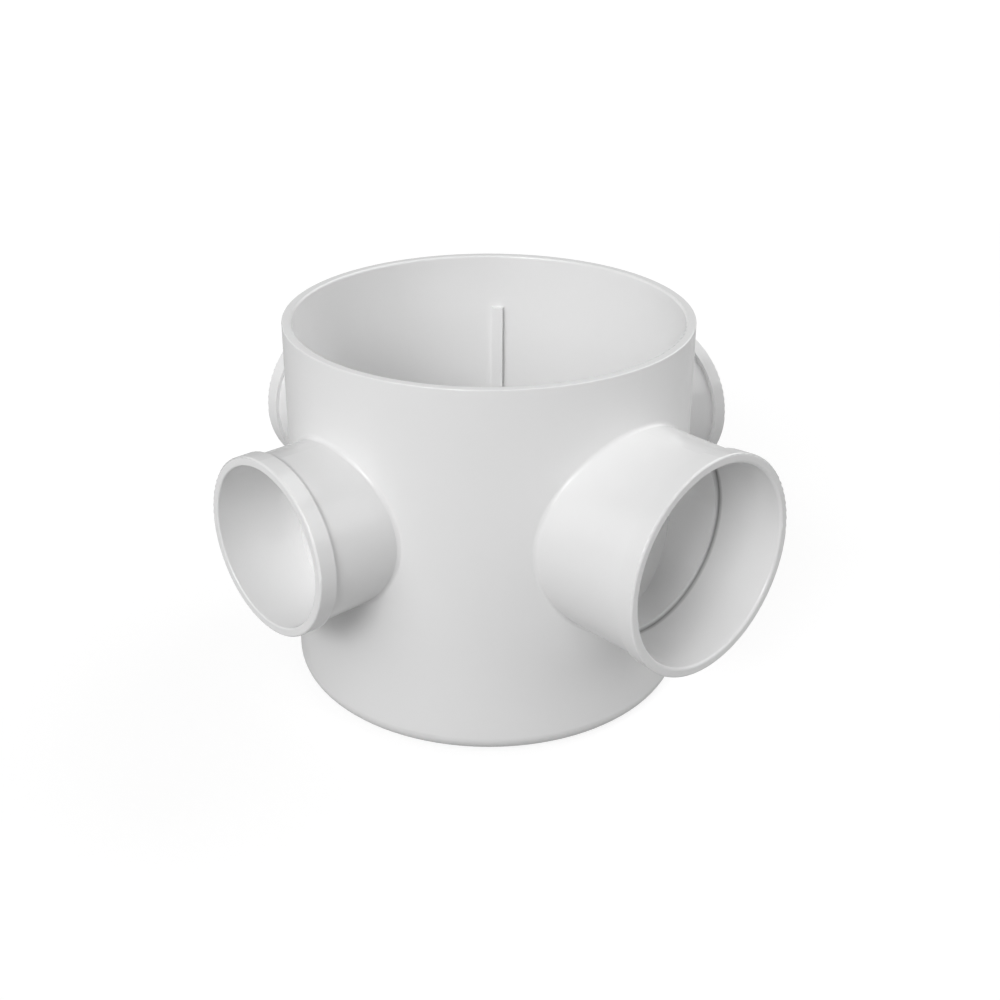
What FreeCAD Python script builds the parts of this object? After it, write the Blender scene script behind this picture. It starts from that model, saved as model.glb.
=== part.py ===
import FreeCAD, Part

import math
import os

import Sketcher

# Floor drain body: a round cup with a closed floor, one open outlet socket and three inlet sockets that end
# on the cup's wall. One white PVC moulding that stands on its floor, with the outlet along +X.

NODE = "drain_body"

# Sizes in millimetres, the angle in degrees. A reach is measured from the cup's axis.
SIZES = {
    "cup_radius": 52.5,
    "cup_height": 98.0,
    "cup_wall": 2.5,
    "base_rounding": 4.6,
    "rim_inner_rounding": 0.6,
    "rim_outer_rounding": 0.3,
    "branch_height": 56.0,
    "root_rounding": 1.0,
    "collar_rounding": 0.5,
    "inlet_reach": 71.5,
    "inlet_socket_radius": 20.2,
    "inlet_socket_depth": 18.3,
    "inlet_mouth_rounding": 0.4,
    "inlet_seat_radius": 19.7,
    "inlet_seat_length": 5.2,
    "inlet_tube_radius": 21.35,
    "inlet_collar_radius": 22.45,
    "inlet_collar_length": 4.5,
    "outlet_reach": 77.0,
    "outlet_socket_radius": 25.2,
    "outlet_socket_depth": 19.0,
    "outlet_mouth_rounding": 0.7,
    "outlet_bore_radius": 23.7,
    "outlet_tube_radius": 26.55,
    "outlet_collar_radius": 27.7,
    "outlet_collar_rear_radius": 27.35,
    "outlet_collar_length": 4.9,
    "rib_width": 3.2,
    "rib_depth": 1.5,
    "rib_top_height": 82.6,
    "rib_first_angle": 45.0,
}

# Sizes that follow from the ones above.
DERIVED_SIZES = {
    "cup_bore_radius": "=cup_radius - cup_wall",
    "floor_rounding": "=base_rounding - cup_wall",
    "inlet_seat_start": "=inlet_reach - inlet_socket_depth",
    "inlet_seat_end": "=inlet_seat_start - inlet_seat_length",
    "inlet_collar_start": "=inlet_reach - inlet_collar_length",
    "outlet_stop": "=outlet_reach - outlet_socket_depth",
    "outlet_collar_start": "=outlet_reach - outlet_collar_length",
    "rib_face_radius": "=cup_bore_radius - rib_depth",
    "rib_root_radius": "=cup_bore_radius + cup_wall / 2",
    "rib_half_width": "=rib_width / 2",
    "rib_height": "=rib_top_height - cup_wall",
}

INLET_COUNT = 3
INLET_SPAN = 180
RIB_COUNT = 4
FULL_TURN = 360
TOLERANCE = 0.01

os.makedirs("parts", exist_ok=True)
document = FreeCAD.newDocument("floor_drain")
sheet = document.addObject("Spreadsheet::Sheet", "dims")
body = document.addObject("PartDesign::Body", NODE)
body.Label = NODE


def fill_sheet():
    rows = {name: str(value) for name, value in SIZES.items()}
    rows.update(DERIVED_SIZES)
    for row, (name, text) in enumerate(rows.items(), start=1):
        sheet.set(f"A{row}", name)
        sheet.set(f"B{row}", text)
        sheet.setAlias(f"B{row}", name)
    document.recompute()


def size(name):
    return float(sheet.get(name))


def origin_part(role):
    return next(part for part in body.Origin.OriginFeatures if part.Role == role)


def add_sketch(name, plane, lift=None, rise=None, turn=None):
    sketch = body.newObject("Sketcher::SketchObject", name)
    sketch.AttachmentSupport = [(origin_part(plane), "")]
    sketch.MapMode = "FlatFace"
    offsets = {"Base.z": lift, "Base.y": rise, "Rotation.Angle": turn}
    for path, dimension in offsets.items():
        if dimension:
            sketch.setExpression(f".AttachmentOffset.{path}", f"dims.{dimension}")
    document.recompute()
    return sketch


def drive(sketch, dimension, kind, *where):
    index = sketch.addConstraint(Sketcher.Constraint(kind, *where, size(dimension)))
    label = f"{dimension}_{index}"
    sketch.renameConstraint(index, label)
    sketch.setExpression(f"Constraints.{label}", f"dims.{dimension}")


def add_circle(sketch, radius):
    circle = Part.Circle(FreeCAD.Vector(0, 0, 0), FreeCAD.Vector(0, 0, 1), size(radius))
    index = sketch.addGeometry(circle, False)
    sketch.addConstraint(Sketcher.Constraint("Coincident", index, 3, -1, 1))
    drive(sketch, radius, "Radius", index)


def add_outline(sketch, points):
    corners = [FreeCAD.Vector(x, y, 0) for x, y in points]
    for start, end in zip(corners, corners[1:] + corners[:1]):
        sketch.addGeometry(Part.LineSegment(start, end), False)
    for line in range(len(corners)):
        following = (line + 1) % len(corners)
        sketch.addConstraint(Sketcher.Constraint("Coincident", line, 2, following, 1))


def add_feature(kind, name, sketch, length, reverse=False):
    feature = body.newObject(f"PartDesign::{kind}", name)
    feature.Profile = sketch
    feature.setExpression("Length", f"dims.{length}")
    feature.Reversed = reverse
    document.recompute()
    return feature


# A branch is a section turned about its own axis. Each corner is a station along that axis and a radius.
def add_branch(name, plane, corners):
    sketch = add_sketch(f"{name}_section", plane, rise="branch_height")
    add_outline(sketch, [(size(station) if station else 0, size(radius)) for station, radius in corners])
    for corner, (station, radius) in enumerate(corners):
        drive(sketch, radius, "DistanceY", -1, 1, corner, 1)
        if station:
            drive(sketch, station, "DistanceX", -1, 1, corner, 1)
        else:
            sketch.addConstraint(Sketcher.Constraint("PointOnObject", corner, 1, -2))
    branch = body.newObject("PartDesign::Revolution", name)
    branch.Profile = sketch
    branch.ReferenceAxis = (sketch, ["H_Axis"])
    branch.Angle = FULL_TURN
    document.recompute()
    return branch


def add_pattern(name, original, count, span):
    pattern = body.newObject("PartDesign::PolarPattern", name)
    pattern.Originals = [original]
    pattern.Axis = (origin_part("Z_Axis"), [""])
    pattern.Angle = span
    pattern.Occurrences = count
    body.Tip = pattern
    document.recompute()
    return pattern


def add_rounding(name, radius, chosen):
    base = body.Tip
    edges = [f"Edge{index}" for index, edge in enumerate(base.Shape.Edges, start=1) if chosen(edge)]
    fillet = body.newObject("PartDesign::Fillet", name)
    fillet.Base = (base, edges)
    fillet.setExpression("Radius", f"dims.{radius}")
    document.recompute()
    return fillet


# A ring edge lies flat round the cup's axis.
def ring_edge(level, radius):
    def chosen(edge):
        if not isinstance(edge.Curve, Part.Circle):
            return False
        centre = edge.Curve.Center
        at_level = abs(centre.z - level) < TOLERANCE
        on_axis = math.hypot(centre.x, centre.y) < TOLERANCE
        return at_level and on_axis and abs(edge.Curve.Radius - size(radius)) < TOLERANCE
    return chosen


# A mouth edge lies round a branch's open end, on the side of its socket or of its collar.
def mouth_edge(branch, side):
    def chosen(edge):
        if not isinstance(edge.Curve, Part.Circle):
            return False
        reach = math.hypot(edge.Curve.Center.x, edge.Curve.Center.y)
        at_end = abs(reach - size(f"{branch}_reach")) < TOLERANCE
        return at_end and abs(edge.Curve.Radius - size(f"{branch}_{side}_radius")) < TOLERANCE
    return chosen


# A root edge is where a branch's outside meets the cup's outside.
def root_edge(edge):
    first, last = edge.ParameterRange
    tubes = (size("inlet_tube_radius"), size("outlet_tube_radius"))
    for share in (0, 0.25, 0.5, 0.75, 1):
        point = edge.valueAt(first + (last - first) * share)
        off_cup = abs(math.hypot(point.x, point.y) - size("cup_radius"))
        from_axis = math.hypot(min(abs(point.x), abs(point.y)), point.z - size("branch_height"))
        off_tube = min(abs(from_axis - tube) for tube in tubes)
        if max(off_cup, off_tube) > TOLERANCE:
            return False
    return True


fill_sheet()

# The cup begins as a solid drum.
drum_sketch = add_sketch("drum_sketch", "XY_Plane")
add_circle(drum_sketch, "cup_radius")
add_feature("Pad", "drum", drum_sketch, "cup_height")

# The inlets are thin tubes with a thicker collar at the mouth. Each socket narrows to a seat at its inner end,
# where the drum closes it.
inlet = add_branch("inlet", "YZ_Plane", [
    (None, "inlet_seat_radius"),
    ("inlet_seat_end", "inlet_seat_radius"),
    ("inlet_seat_start", "inlet_socket_radius"),
    ("inlet_reach", "inlet_socket_radius"),
    ("inlet_reach", "inlet_collar_radius"),
    ("inlet_collar_start", "inlet_collar_radius"),
    ("inlet_collar_start", "inlet_tube_radius"),
    (None, "inlet_tube_radius"),
])
add_pattern("inlets", inlet, INLET_COUNT, INLET_SPAN)

# The outlet is a wider tube. Its collar flares a little to the mouth, and its socket ends on a flat stop for
# the pipe's end.
add_branch("outlet", "XZ_Plane", [
    (None, "outlet_bore_radius"),
    ("outlet_stop", "outlet_bore_radius"),
    ("outlet_stop", "outlet_socket_radius"),
    ("outlet_reach", "outlet_socket_radius"),
    ("outlet_reach", "outlet_collar_radius"),
    ("outlet_collar_start", "outlet_collar_rear_radius"),
    ("outlet_collar_start", "outlet_tube_radius"),
    (None, "outlet_tube_radius"),
])

add_rounding("branch_roots", "root_rounding", root_edge)
for branch in ("inlet", "outlet"):
    add_rounding(f"{branch}_mouth_edge", f"{branch}_mouth_rounding", mouth_edge(branch, "socket"))
    add_rounding(f"{branch}_collar_edge", "collar_rounding", mouth_edge(branch, "collar"))
add_rounding("base_edge", "base_rounding", ring_edge(0, "cup_radius"))

# The cup is hollow above its floor, and the outlet's bore opens into it.
hollow_sketch = add_sketch("hollow_sketch", "XY_Plane", lift="cup_wall")
add_circle(hollow_sketch, "cup_bore_radius")
add_feature("Pocket", "hollow", hollow_sketch, "cup_height", reverse=True)
add_rounding("floor_edge", "floor_rounding", ring_edge(size("cup_wall"), "cup_bore_radius"))
add_rounding("rim_inner_edge", "rim_inner_rounding", ring_edge(size("cup_height"), "cup_bore_radius"))
add_rounding("rim_outer_edge", "rim_outer_rounding", ring_edge(size("cup_height"), "cup_radius"))

bore_sketch = add_sketch("outlet_bore_sketch", "YZ_Plane", rise="branch_height")
add_circle(bore_sketch, "outlet_bore_radius")
add_feature("Pocket", "outlet_bore", bore_sketch, "outlet_stop", reverse=True)

# Upright ribs on the inner wall, one between each two branches, stop a ring pushed in from the top.
rib_sketch = add_sketch("rib_sketch", "XY_Plane", lift="cup_wall", turn="rib_first_angle")
rib_face = size("rib_face_radius")
rib_root = size("rib_root_radius")
rib_side = size("rib_half_width")
add_outline(rib_sketch, [
    (rib_face, -rib_side),
    (rib_root, -rib_side),
    (rib_root, rib_side),
    (rib_face, rib_side),
])
for left, right in ((0, 1), (3, 2)):
    drive(rib_sketch, "rib_face_radius", "DistanceX", -1, 1, left, 1)
    drive(rib_sketch, "rib_root_radius", "DistanceX", -1, 1, right, 1)
for lower, upper in ((0, 3), (1, 2)):
    drive(rib_sketch, "rib_half_width", "DistanceY", lower, 1, -1, 1)
    drive(rib_sketch, "rib_half_width", "DistanceY", -1, 1, upper, 1)
rib = add_feature("Pad", "rib", rib_sketch, "rib_height")
add_pattern("ribs", rib, RIB_COUNT, FULL_TURN)

document.recompute()
for item in document.Objects:
    if {"Invalid", "Error"} & set(item.State):
        raise RuntimeError(f"{item.Name} is not up to date: {item.State}")
shape = body.Shape
if shape.isNull() or not shape.isValid() or len(shape.Solids) != 1:
    raise RuntimeError(f"{NODE} is not one valid solid")
shape.exportStep(f"parts/{NODE}.step")
box = shape.BoundBox
print(f"{NODE}: {shape.Volume / 1000:.1f} cm3, {box.XLength:.1f} x {box.YLength:.1f} x {box.ZLength:.1f} mm")
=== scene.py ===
import math

import bpy
from mathutils import Matrix, Vector


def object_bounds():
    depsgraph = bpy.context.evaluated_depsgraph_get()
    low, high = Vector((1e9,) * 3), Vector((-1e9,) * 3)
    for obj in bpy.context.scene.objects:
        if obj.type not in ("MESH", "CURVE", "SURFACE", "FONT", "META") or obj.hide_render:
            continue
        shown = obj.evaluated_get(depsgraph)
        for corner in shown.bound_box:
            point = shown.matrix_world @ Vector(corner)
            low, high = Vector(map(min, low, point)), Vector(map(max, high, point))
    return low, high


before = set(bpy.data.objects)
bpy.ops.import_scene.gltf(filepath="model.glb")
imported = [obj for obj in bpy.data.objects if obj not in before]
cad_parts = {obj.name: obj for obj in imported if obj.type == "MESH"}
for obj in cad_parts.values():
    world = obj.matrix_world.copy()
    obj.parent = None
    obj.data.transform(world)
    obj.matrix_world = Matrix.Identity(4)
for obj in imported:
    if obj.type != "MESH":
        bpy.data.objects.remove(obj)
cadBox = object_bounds()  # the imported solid, before it is dressed
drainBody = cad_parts["drain_body"]
print("loaded", drainBody.name, len(drainBody.data.polygons), "faces")


def newMaterial(name):
    material = bpy.data.materials.new(name)
    material.use_nodes = True
    tree = material.node_tree
    tree.nodes.clear()
    output = tree.nodes.new("ShaderNodeOutputMaterial")
    return material, tree, output


def addNode(tree, kind, settings=None, values=None):  # values go to inputs, by name or number
    node = tree.nodes.new(kind)
    for key, value in (settings or {}).items():
        setattr(node, key, value)
    for key, value in (values or {}).items():
        node.inputs[key].default_value = value
    return node


def addRange(tree, source, given, wanted):  # stretches one span of values onto another
    ends = dict(zip(("From Min", "From Max", "To Min", "To Max"), (*given, *wanted)))
    stretch = addNode(tree, "ShaderNodeMapRange", values=ends)
    tree.links.new(source, stretch.inputs["Value"])
    return stretch.outputs["Result"]


def towards(azimuth, elevation):  # azimuth 0 is the front, 90 the outlet's side
    turn = math.radians(azimuth)
    rise = math.radians(elevation)
    return Vector((math.sin(turn) * math.cos(rise), -math.cos(turn) * math.cos(rise), math.sin(rise)))


# White PVC moulding, with its sizes in metres
pvcFinish = {
    "ior": 1.53,
    "colour": (0.872, 0.872, 0.872),
    "colourCloudy": (0.864, 0.864, 0.864),
    "cloud": {"size": 0.018, "detail": 3},
    "roughness": (0.20, 0.24),
    "sheenPatch": {"size": 0.006, "detail": 4},
    "noiseSpan": (0.2, 0.8),  # noise values at which the two colours, or roughnesses, are reached
    "ripple": {"size": 0.012, "detail": 1, "depth": 0.000006},
    "grain": {"size": 0.0004, "detail": 2, "depth": 0.000002},
    "paintedStopShade": {  # painted shade: a dark line painted into the colour in the corner where the outlet's socket ends
        "colour": (0.40, 0.40, 0.40),
        "reach": 0.0011,
        "centre": (0.058, 0, 0.056),
        "radius": 0.0252,
    },
}
colourMix = {"a": 6, "b": 7, "result": 2}  # the Mix node's sockets for colours


def addNoise(tree, place, look):  # noise of a real size, fixed to the moulding
    noise = addNode(tree, "ShaderNodeTexNoise", values={"Scale": 1 / look["size"], "Detail": look["detail"]})
    tree.links.new(place.outputs["Object"], noise.inputs["Vector"])
    return noise.outputs["Fac"]


def addBump(tree, place, look):
    bump = addNode(tree, "ShaderNodeBump", values={"Strength": 1, "Distance": look["depth"]})
    tree.links.new(addNoise(tree, place, look), bump.inputs["Height"])
    return bump


def clearOfStopShade(tree, place):  # mask of the painted shade: 0 in the corner where the outlet's socket ends, 1 away from it
    link = tree.links.new
    line = pvcFinish["paintedStopShade"]
    fromStop = addNode(tree, "ShaderNodeVectorMath", {"operation": "SUBTRACT"}, {1: line["centre"]})
    along = addNode(tree, "ShaderNodeSeparateXYZ")
    across = addNode(tree, "ShaderNodeVectorMath", {"operation": "MULTIPLY"}, {1: (0, 1, 1)})
    radius = addNode(tree, "ShaderNodeVectorMath", {"operation": "LENGTH"})
    fromWall = addNode(tree, "ShaderNodeMath", {"operation": "SUBTRACT"}, {1: line["radius"]})
    corner = addNode(tree, "ShaderNodeCombineXYZ")
    fromCorner = addNode(tree, "ShaderNodeVectorMath", {"operation": "LENGTH"})
    link(place.outputs["Object"], fromStop.inputs[0])
    link(fromStop.outputs["Vector"], along.inputs["Vector"])
    link(fromStop.outputs["Vector"], across.inputs[0])
    link(across.outputs["Vector"], radius.inputs[0])
    link(radius.outputs["Value"], fromWall.inputs[0])
    link(along.outputs["X"], corner.inputs["X"])
    link(fromWall.outputs["Value"], corner.inputs["Y"])
    link(corner.outputs["Vector"], fromCorner.inputs[0])
    return addRange(tree, fromCorner.outputs["Value"], (0, line["reach"]), (0, 1))


def makePvc():
    material, tree, output = newMaterial("whitePvc")
    link = tree.links.new
    place = addNode(tree, "ShaderNodeTexCoord")
    shader = addNode(tree, "ShaderNodeBsdfPrincipled", values={"IOR": pvcFinish["ior"]})

    tint = addNode(tree, "ShaderNodeValToRGB")
    tintColours = (pvcFinish["colourCloudy"], pvcFinish["colour"])
    for step, position, colour in zip(tint.color_ramp.elements, pvcFinish["noiseSpan"], tintColours):
        step.position = position
        step.color = (*colour, 1)
    # painted shade: the colour turns dark in the corner where the outlet's socket ends, standing in for its
    # shadow
    stopShadeMix = addNode(tree, "ShaderNodeMix", {"data_type": "RGBA"})
    stopShadeMix.inputs[colourMix["a"]].default_value = (*pvcFinish["paintedStopShade"]["colour"], 1)
    link(addNoise(tree, place, pvcFinish["cloud"]), tint.inputs["Fac"])
    link(clearOfStopShade(tree, place), stopShadeMix.inputs["Factor"])
    link(tint.outputs["Color"], stopShadeMix.inputs[colourMix["b"]])
    link(stopShadeMix.outputs[colourMix["result"]], shader.inputs["Base Color"])

    patch = addNoise(tree, place, pvcFinish["sheenPatch"])
    gloss = addRange(tree, patch, pvcFinish["noiseSpan"], pvcFinish["roughness"])
    link(gloss, shader.inputs["Roughness"])

    waves = addBump(tree, place, pvcFinish["ripple"])
    pores = addBump(tree, place, pvcFinish["grain"])
    link(waves.outputs["Normal"], pores.inputs["Normal"])
    link(pores.outputs["Normal"], shader.inputs["Normal"])

    link(shader.outputs["BSDF"], output.inputs["Surface"])
    return material


drainBody.data.materials.clear()
drainBody.data.materials.append(makePvc())
print("finished the moulding in", drainBody.data.materials[0].name)

# Pale studio floor: grey for the light it sends back, white to the camera, with a soft shadow
studioFloor = {
    "size": 14.0,
    "gap": 0.0001,  # below the base, so that the two faces don't share a plane
    "colour": (0.38, 0.38, 0.38),
    "glow": (0.82, 1.0),  # what the camera sees of it without any light, near the drain and far off
    "glowSpread": (0.5, 1.5),  # metres from the middle at which those two are reached
    "shadowTone": (0.24, 0.24, 0.24),  # what the lamps light on top of the glow, outside the shadow
    "mirroredShare": 0.3,  # how much of the white is seen in reflections
}


def seenShare(tree):  # 1 for the camera's rays, mirroredShare for rays in a reflection, 0 for the rest
    link = tree.links.new
    rays = addNode(tree, "ShaderNodeLightPath")
    mirrored = addNode(tree, "ShaderNodeMath", {"operation": "MAXIMUM"})
    dimmed = addNode(tree, "ShaderNodeMath", {"operation": "MULTIPLY"}, {1: studioFloor["mirroredShare"]})
    seen = addNode(tree, "ShaderNodeMath", {"operation": "MAXIMUM"})
    link(rays.outputs["Is Glossy Ray"], mirrored.inputs[0])
    link(rays.outputs["Is Transmission Ray"], mirrored.inputs[1])
    link(mirrored.outputs["Value"], dimmed.inputs[0])
    link(rays.outputs["Is Camera Ray"], seen.inputs[0])
    link(dimmed.outputs["Value"], seen.inputs[1])
    return seen.outputs["Value"]


def makeFloorPaint():
    material, tree, output = newMaterial("paleFloor")
    link = tree.links.new
    place = addNode(tree, "ShaderNodeTexCoord")
    away = addNode(tree, "ShaderNodeVectorMath", {"operation": "LENGTH"})
    grey = addNode(tree, "ShaderNodeBsdfDiffuse", values={"Color": (*studioFloor["colour"], 1)})
    pale = addNode(tree, "ShaderNodeBsdfDiffuse", values={"Color": (*studioFloor["shadowTone"], 1)})
    white = addNode(tree, "ShaderNodeEmission")
    shaded = addNode(tree, "ShaderNodeAddShader")
    mix = addNode(tree, "ShaderNodeMixShader")
    link(place.outputs["Object"], away.inputs[0])
    glow = addRange(tree, away.outputs["Value"], studioFloor["glowSpread"], studioFloor["glow"])
    link(glow, white.inputs["Strength"])
    link(pale.outputs["BSDF"], shaded.inputs[0])
    link(white.outputs["Emission"], shaded.inputs[1])
    link(seenShare(tree), mix.inputs["Fac"])
    link(grey.outputs["BSDF"], mix.inputs[1])
    link(shaded.outputs["Shader"], mix.inputs[2])
    link(mix.outputs["Shader"], output.inputs["Surface"])
    return material


def makeFloor():
    half = studioFloor["size"] / 2
    corners = [(-half, -half, 0), (half, -half, 0), (half, half, 0), (-half, half, 0)]
    mesh = bpy.data.meshes.new("studioFloor")
    mesh.from_pydata(corners, [], [(0, 1, 2, 3)])
    mesh.materials.append(makeFloorPaint())
    floor = bpy.data.objects.new("studioFloor", mesh)
    floor.location.z = cadBox[0].z - studioFloor["gap"]
    bpy.context.scene.collection.objects.link(floor)


def makeWorld():
    world = bpy.data.worlds.new("studio")
    bpy.context.scene.world = world
    world.use_nodes = True
    tree = world.node_tree
    tree.nodes.clear()
    output = addNode(tree, "ShaderNodeOutputWorld")
    white = addNode(tree, "ShaderNodeBackground", values={"Color": (1, 1, 1, 1)})
    tree.links.new(seenShare(tree), white.inputs["Strength"])  # the softboxes give the light
    tree.links.new(white.outputs["Background"], output.inputs["Surface"])


# Softboxes round the drain, each facing its middle, in metres and degrees
softboxDistance = 3.0
softboxes = {
    "frontBroad": {"azimuth": 15, "elevation": 38, "width": 2.41, "height": 2.93, "watts": 49.0},
    "frontKey": {"azimuth": 24, "elevation": 30, "width": 1.10, "height": 0.63, "watts": 26.0},
    "rightSide": {"azimuth": 80, "elevation": 30, "width": 1.89, "height": 1.06, "watts": 5.0},
    "rightBack": {"azimuth": 125, "elevation": 30, "width": 2.42, "height": 1.95, "watts": 21.0},
    "back": {"azimuth": 180, "elevation": 38, "width": 2.20, "height": 2.93, "watts": 48.0},
    "left": {"azimuth": -90, "elevation": 21, "width": 2.26, "height": 1.61, "watts": 8.5},
    "leftFront": {"azimuth": -46, "elevation": 21, "width": 2.26, "height": 1.61, "watts": 9.0},
}


def makeSoftbox(name, box, middle):
    data = bpy.data.lights.new(name, "AREA")
    data.shape = "RECTANGLE"
    data.size = box["width"]
    data.size_y = box["height"]
    data.energy = box["watts"]
    lamp = bpy.data.objects.new(name, data)
    direction = towards(box["azimuth"], box["elevation"])
    lamp.location = middle + direction * softboxDistance
    lamp.rotation_euler = direction.to_track_quat("Z", "Y").to_euler()
    bpy.context.scene.collection.objects.link(lamp)


makeFloor()
makeWorld()
drainMiddle = (cadBox[0] + cadBox[1]) / 2
for name, box in softboxes.items():
    makeSoftbox(name, box, drainMiddle)
print("lit by", len(softboxes), "softboxes")

# Camera where the picture was taken from
photoView = {
    "azimuth": 47.961,  # degrees
    "elevation": 24.174,
    "distance": 0.3733,  # metres, to the aim point
    "aimAcross": -0.000724,  # aim point, from the middle of the base
    "aimHeight": 0.0625,
    "nearest": 0.01,  # nothing closer than this is drawn
    "pictureSize": 1000,  # pixels, as the two below
    "focalLength": 1406.99,
    "axisOffCentre": (-13.965, -60.3),
    "sensorWidth": 36,  # millimetres
}


def makeCamera():
    back = towards(photoView["azimuth"], photoView["elevation"])
    right = Vector((0, 0, 1)).cross(back).normalized()
    up = back.cross(right)
    aim = right * photoView["aimAcross"] + Vector((0, 0, photoView["aimHeight"]))
    data = bpy.data.cameras.new("photoCamera")
    data.sensor_width = photoView["sensorWidth"]
    data.lens = photoView["sensorWidth"] * photoView["focalLength"] / photoView["pictureSize"]
    data.shift_x = -photoView["axisOffCentre"][0] / photoView["pictureSize"]
    data.shift_y = photoView["axisOffCentre"][1] / photoView["pictureSize"]
    data.clip_start = photoView["nearest"]
    camera = bpy.data.objects.new("photoCamera", data)
    turn = Matrix((right, up, back)).transposed().to_4x4()
    camera.matrix_world = Matrix.Translation(aim + back * photoView["distance"]) @ turn
    bpy.context.scene.collection.objects.link(camera)
    bpy.context.scene.camera = camera


makeCamera()
bpy.context.scene.view_settings.view_transform = "Standard"
print("camera set")
